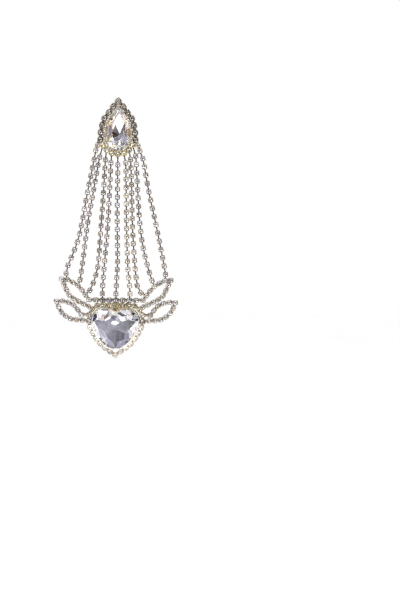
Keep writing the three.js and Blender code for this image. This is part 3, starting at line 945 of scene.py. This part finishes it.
HEART_ZONES = [
    (0.42, ["clear", "milk", "clear", "petal", "butter", "cloud"]),
    (-0.2, ["clear", "milk", "clear", "petal"]),
    (-0.6, ["milk", "clear", "clear", "cloud"]),
    (-2, ["clear", "smoke", "milk", "cloud", "clear"]),
]


# The post from the back of the setting to its tip: (radius, distance behind the setting's back)
POST_PROFILE = [
    (1.7, 0), (1.85, 0.15), (1.8, 0.3),  # solder
    (2.48, 0.3), (2.6, 0.42), (2.6, 0.78), (2.48, 0.9),  # pad
    (0.77, 0.9), (0.54, 1), (0.42, 1.25), (0.42, 10.3), (0.36, 10.6), (0.24, 10.82), (0.14, 10.9),  # post
]
POST_SIDES = 48


def ear_post():
    """The post and its pad, with the solder that fixes the pad to the setting's back."""
    form = Form()
    rings = [ring(round_plan(radius, POST_SIDES), -behind) for radius, behind in POST_PROFILE[::-1]]
    form.loft(rings, "gold")
    piece = Piece(SEEDS["post"])
    piece.place(form)
    return piece.made("post_and_pad", "gold_metal", "ear_post")


# The groove stamped in the back of a setting, from its inside out: (share of the way to the outline, depth)
BACK_GROOVE = [(0.58, 0), (0.64, 0.2), (0.76, 0.2), (0.82, 0)]
SETTING_FOOT = [(0.2, 0), (0.62, 0.04), (0.8, 0.25)]  # (out from the outline, height)
# (out from the outline and more of it at a tooth, height from the rim and more of it at a tooth)
SETTING_EDGE = [
    (0.8, 0, -0.9, 0), (0.78, 0, -0.6, 0), (0.6, 0.06, -0.25, 0.15), (0.42, -0.08, 0, 0.3),
    (0.3, -0.34, -0.02, 0.36), (0.28, -0.32, -0.1, 0.3), (0.26, 0, -0.3, 0),
]
SETTING_INNER = 0.26
SETTING_RIM = 0.1  # over the girdle
TOOTH_POINTS = 8
TOOTH_ROUNDNESS = 0.8
TINT_STEP = 7  # so that tints next to each other in a list aren't next to each other on the setting


def add_setting(piece, stone, outline):
    """A stone's setting: a floor with a groove stamped in its back, a wall, and a lace edge of small teeth
    that lean in over the stone."""
    form = Form()
    points = whole_outline(outline, stone, stone["teeth"] * TOOTH_POINTS)
    middle = (0, stone["middle"])
    tooth = (0.5 + 0.5 * np.cos(np.arange(len(points)) * math.tau / TOOTH_POINTS)) ** TOOTH_ROUNDNESS
    rim = girdle_top(stone) + SETTING_RIM
    rings = [ring(middle + (points - middle) * share, depth) for share, depth in BACK_GROOVE]
    rings += [ring(grown(points, out), height) for out, height in SETTING_FOOT]
    for out, out_more, height, height_more in SETTING_EDGE:
        rings.append(ring(grown(points, out + out_more * tooth), rim + height + height_more * tooth))
    rings.append(ring(grown(points, SETTING_INNER), SETTING_FLOOR))
    form.loft(rings, "setting_plate")
    # the teeth's tints by height are painted reflections and shade on the metal
    for i, face in enumerate(form.faces[:-2]):
        up = (form.corners[face[0]][1] - stone["middle"]) / stone["height"]
        shades = at_height(SETTING_PAINTED_REFLECTIONS[stone["name"]], up)
        half_tooth = i % len(points) // (TOOTH_POINTS // 2)
        form.tints[i] = shades[half_tooth * TINT_STEP % len(shades)]
    back = len(points) * len(BACK_GROOVE)
    form.tints[:back] = ["fair"] * back
    form.tints[-2:] = ["fair", "fair"]
    piece.place(form)


GRAIN = {"radius": 0.46, "pitch": 0.82, "foot": 0.45, "sides": 10}
GRAIN_PROFILE = [(1, 0), (0.95, 0.5), (0.72, 0.9), (0.36, 1.12)]  # (from the middle, height) in radii
GRAIN_SHADES = ["golden", "aged", "antique", "antique", "golden", "deep_gold", "fair"]
GRAINS_EACH_WAY = 4
DIP_PLATE_BACK = 0.1


def add_dip_solder(piece, halo, crown_row):
    """Grains of gold on a low plate, which fill the heart's dip between its setting, the two inmost cups and
    the straight row."""
    reach = halo[:, 0][halo[:, 0] > 0].min() - CUP_HALF + SOLDER_LAP
    top = crown_row[0][1] - CUP_HALF + SOLDER_LAP
    (_, dip), (shoulder_across, shoulder) = sized(HEART_OUTLINE[:2], HEART)
    slope = (shoulder - dip) / shoulder_across
    side = dip + slope * reach
    plate = [(0, dip), (reach, side), (reach, top), (-reach, top), (-reach, side)]
    rings = [ring(plate, DIP_PLATE_BACK), ring(plate, GRAIN["foot"])]
    form = Form().loft(rings, "setting_plate", "deep_gold")
    columns = np.arange(-GRAINS_EACH_WAY, GRAINS_EACH_WAY + 1)
    number = 0
    for k, up in enumerate(np.arange(dip, top, GRAIN["pitch"] * math.sqrt(3) / 2)):
        for across in (columns + k % 2 / 2) * GRAIN["pitch"]:
            if abs(across) < reach and up > dip + slope * abs(across):
                rings = []
                for wide, high in GRAIN_PROFILE:
                    plan = np.array(round_plan(GRAIN["radius"] * wide, GRAIN["sides"])) + (across, up)
                    rings.append(ring(plan, GRAIN["foot"] + GRAIN["radius"] * high))
                form.loft(rings, "setting_plate", GRAIN_SHADES[number % len(GRAIN_SHADES)])
                number += 1
    piece.place(form)


FINE_SIDES = 240


def large_stone(name, node, stone, outline, table, chart, zones):
    seed = SEEDS[stone["name"]]
    form = Form()
    fine = grown(whole_outline(outline, stone, FINE_SIDES), STONE_FIT)
    whole_table = np.vstack([table, mirrored(table[1:-1])[::-1]])
    rim = add_crown(form, stone, fine, sized(whole_table, stone))
    add_foil(form, stone, fine, rim, chart, zones, seed)
    piece = Piece(seed)
    piece.place(form.weld())
    return piece.made(name, "crystal", node)


# Tints of a setting's teeth, each list from a height up in shares of the stone's height: painted reflections
# and shade that make the metal lighter, darker and coloured by height, mixed among its own uneven tones
SETTING_PAINTED_REFLECTIONS = {
    "pear": [
        (0.3, ["pearl", "fair", "sage", "pearl", "aged"]), (-0.12, ["fair", "worn", "bright", "aged"]),
        (-0.32, ["aged", "fair", "worn", "sage"]), (-1, ["sage", "fair", "aged", "golden", "worn"]),
    ],
    "heart": [
        (0.35, ["golden", "fair", "antique"]), (0.12, ["worn", "aged", "shaded", "fair", "shaded"]),
        (-1, ["bright", "bright", "blush"]),
    ],
}

# For each row the tint of its metal, and then the tints of its stones. The strands share the first list, and
# each has a metal and an accent of its own, from left to right.
STRAND_SHADES = ["taupe", "slate", "beige", "taupe", "mist", "beige", "brown"]
STRAND_METALS = [*["worn"] * 5, "aged", *["worn"] * 3]
STRAND_ACCENTS = ["slate", "lilac", "brown", "lilac", "mist", "cream", "bronze", "mist", "slate"]
ARCH_SHADES = ["worn", "taupe", "brown", "brown", "slate", "moss", "beige"]
LOWER_ROW_SHADES = ["golden", "taupe", "gold", "cream", "beige", "mist", "cream", "moss"]
TAIL_SHADES = ["antique", "taupe", "beige", "lilac", "brown", "cream", "slate"]
LEAF_SHADES = ["aged", "beige", "taupe", "lilac", "moss", "mist", "brown"]
CROWN_ROW_SHADES = ["worn", "slate", "moss", "dusk", "mist", "brown", "beige"]
# Each list from a height up, over the heart's middle in shares of its height. The top one, darker and golden
# under the straight row, is partly a painted shade.
HALO_SHADES = [
    (0.45, ["antique", "taupe", "gold", "brown", "beige", "taupe"]),
    (0.12, ["aged", "beige", "taupe", "white", "brown", "lilac"]),
    (-0.56, ["blush", "cream", "beige", "white", "white"]),
    (-1, ["fair", "beige", "taupe", "white", "lilac"]),
]


def halo_shades(seat):
    """The row round the heart is golden and darker where it runs under the straight row, partly a painted
    shade from that row, and bright lower down.
    """
    return at_height(HALO_SHADES, (seat[1] - HEART["middle"]) / HEART["height"])


def top_frame(cup, solder, arch, tail, lower_row):
    piece = Piece(SEEDS["top_frame"])
    left_tail = mirrored(tail)
    ends = nearest(lower_row[0], left_tail), nearest(lower_row[-1], tail)
    add_setting(piece, PEAR, PEAR_OUTLINE)
    add_row(piece, arch, cup, solder, ARCH_SHADES, size=ARCH_CUP_WIDTH / CUP_WIDTH)
    add_row(piece, tail, cup, solder, TAIL_SHADES, start_at=arch[-1])
    add_row(piece, left_tail, cup, solder, TAIL_SHADES, start_at=arch[0])
    add_row(piece, lower_row, cup, solder, LOWER_ROW_SHADES, *ends)
    return piece.made("arch_and_pear_setting", "rhinestone_cups", "top_frame")


def heart_frame(cup, solder, halo, crown_row, leaves):
    piece = Piece(SEEDS["heart_frame"])
    rows = [*halo, *crown_row]
    add_setting(piece, HEART, HEART_OUTLINE)
    add_dip_solder(piece, halo, crown_row)
    add_row(piece, halo, cup, solder, halo_shades)
    add_row(piece, crown_row, cup, solder, CROWN_ROW_SHADES)
    for leaf in leaves:
        add_row(piece, leaf, cup, solder, LEAF_SHADES, nearest(leaf[0], rows), nearest(leaf[-1], rows))
    return piece.made("leaves_and_heart_setting", "rhinestone_cups", "heart_frame")


def strands(cup, link, hangers, carried):
    for i, (route, hanger) in enumerate(zip(STRANDS, hangers)):
        seats, load = strand_seats(route, hanger, carried)
        piece = Piece(SEEDS["strands"] + i)
        shades = [STRAND_METALS[i], *STRAND_SHADES, STRAND_ACCENTS[i], STRAND_ACCENTS[i]]
        add_row(piece, seats, cup, link, shades, tuple(hanger), tuple(load))
        piece.made(f"strand_of_stones_{i + 1}", "rhinestone_cups", f"strand_{i + 1}")


# Camera, light and floor

def photo_camera():
    """The camera in front, at the photograph's frame."""
    right, down = np.subtract(FRAME_MIDDLE, POST_PIXEL)
    across, up = PIXEL * rotated([(right, -down)], LEAN)[0]
    c, s = math.cos(LEAN), math.sin(LEAN)
    away = FRAME_HEIGHT * PIXEL * LENS / SENSOR
    camera = in_scene("camera", bpy.data.cameras.new("camera"))
    camera.data.lens = LENS
    camera.data.sensor_width = SENSOR
    place = Vector((across, FACING_DEPTH - away, up)) * MM
    camera.matrix_world = Matrix((
        (c, -s, 0, place.x),
        (0, 0, -1, place.y),
        (s, c, 0, place.z),
        (0, 0, 0, 1),
    ))
    bpy.context.scene.camera = camera


MIDDLE = Vector((0, 0, -0.048))  # of the earring, in metres
# Each softbox's place from the middle, its size and its power
SOFTBOXES = {
    "upper_left": ((-0.6, -0.8, 0.7), 0.5, 7),
    "upper_right": ((0.8, -0.6, 0.5), 0.4, 4),
    "top": ((0, 0, 1.1), 0.8, 6),
    "back": ((0, 1, 0.5), 0.8, 5),
}
REFLECTED = {"all_round": 0.13, "top": 0.9, "sides": 0.5, "back": 0.7}


def softbox(name, place, size, power):
    """A square soft light that faces the earring."""
    light = bpy.data.lights.new(name, "AREA")
    light.shape = "SQUARE"
    light.size = size
    light.energy = power
    box = in_scene(name, light)
    box.location = MIDDLE + Vector(place)
    box.rotation_mode = "QUATERNION"
    box.rotation_quaternion = Vector(place).to_track_quat("Z", "Y")


def studio():
    """White surroundings for what the camera and the floor see, a dim front and bright top, sides and back
    for what the metal and the stones reflect, and softboxes."""
    world = bpy.data.worlds.new("studio")
    bpy.context.scene.world = world
    world.use_nodes = True
    nodes = Nodes(world.node_tree)
    towards = nodes.node("ShaderNodeTexCoord", output="Generated")
    x, y, z = (nodes.node("ShaderNodeSeparateXYZ", {}, {0: towards}, output=axis) for axis in "XYZ")
    top, sides, back = z.at_least(0) ** 2, x**2, y.at_least(0)
    r = REFLECTED
    reflected = r["all_round"] + r["top"] * top + r["sides"] * sides + r["back"] * back
    seen = nodes.node("ShaderNodeLightPath", output="Is Camera Ray")
    on_floor = nodes.node("ShaderNodeLightPath", output="Is Diffuse Ray")
    plain = seen + on_floor
    background = world.node_tree.nodes["Background"].inputs
    nodes.put(background["Color"], (1.0, 1.0, 1.0))
    nodes.put(background["Strength"], plain + (1 - plain) * reflected)
    for name, (place, size, power) in SOFTBOXES.items():
        softbox(name, place, size, power)
    bpy.context.scene.view_settings.view_transform = "Standard"


FLOOR_HEIGHT = -0.2  # in metres, as its size
FLOOR_SIZE = 30.0


def floor():
    half = FLOOR_SIZE / 2
    mesh = bpy.data.meshes.new("floor")
    corners = [(-half, -half), (half, -half), (half, half), (-half, half)]
    mesh.from_pydata([(x, y, FLOOR_HEIGHT) for x, y in corners], [], [(0, 1, 2, 3)])
    mesh.materials.append(floor_finish())
    thing = in_scene("floor", mesh)


def earring():
    arch, tail, lower_row, halo = arch_seats(), tail_seats(), lower_row_seats(), halo_seats()
    crown_row = crown_row_seats(halo)
    upper_leaf, lower_leaf = leaf_seats(UPPER_LEAF), leaf_seats(LOWER_LEAF)
    leaves = [upper_leaf, lower_leaf, mirrored(upper_leaf), mirrored(lower_leaf)]
    cup = cup_form()
    link = link_form(**STRAND_LINK_FORM)
    solder = link_form(**SOLDER_FORM)
    ear_post()
    top_frame(cup, solder, arch, tail, lower_row)
    heart_frame(cup, solder, halo, crown_row, leaves)
    hangers = [*mirrored(tail[-1:]), *lower_row, *tail[-1:]]
    carried = [*crown_row, *upper_leaf, *mirrored(upper_leaf)]
    strands(cup, link, hangers, carried)
    large_stone("pear_crystal", "pear_stone", PEAR, PEAR_OUTLINE, PEAR_TABLE, PEAR_CHART, PEAR_ZONES)
    large_stone("heart_crystal", "heart_stone", HEART, HEART_OUTLINE, HEART_TABLE, HEART_CHART, HEART_ZONES)


photo_camera()
studio()
floor()
earring()
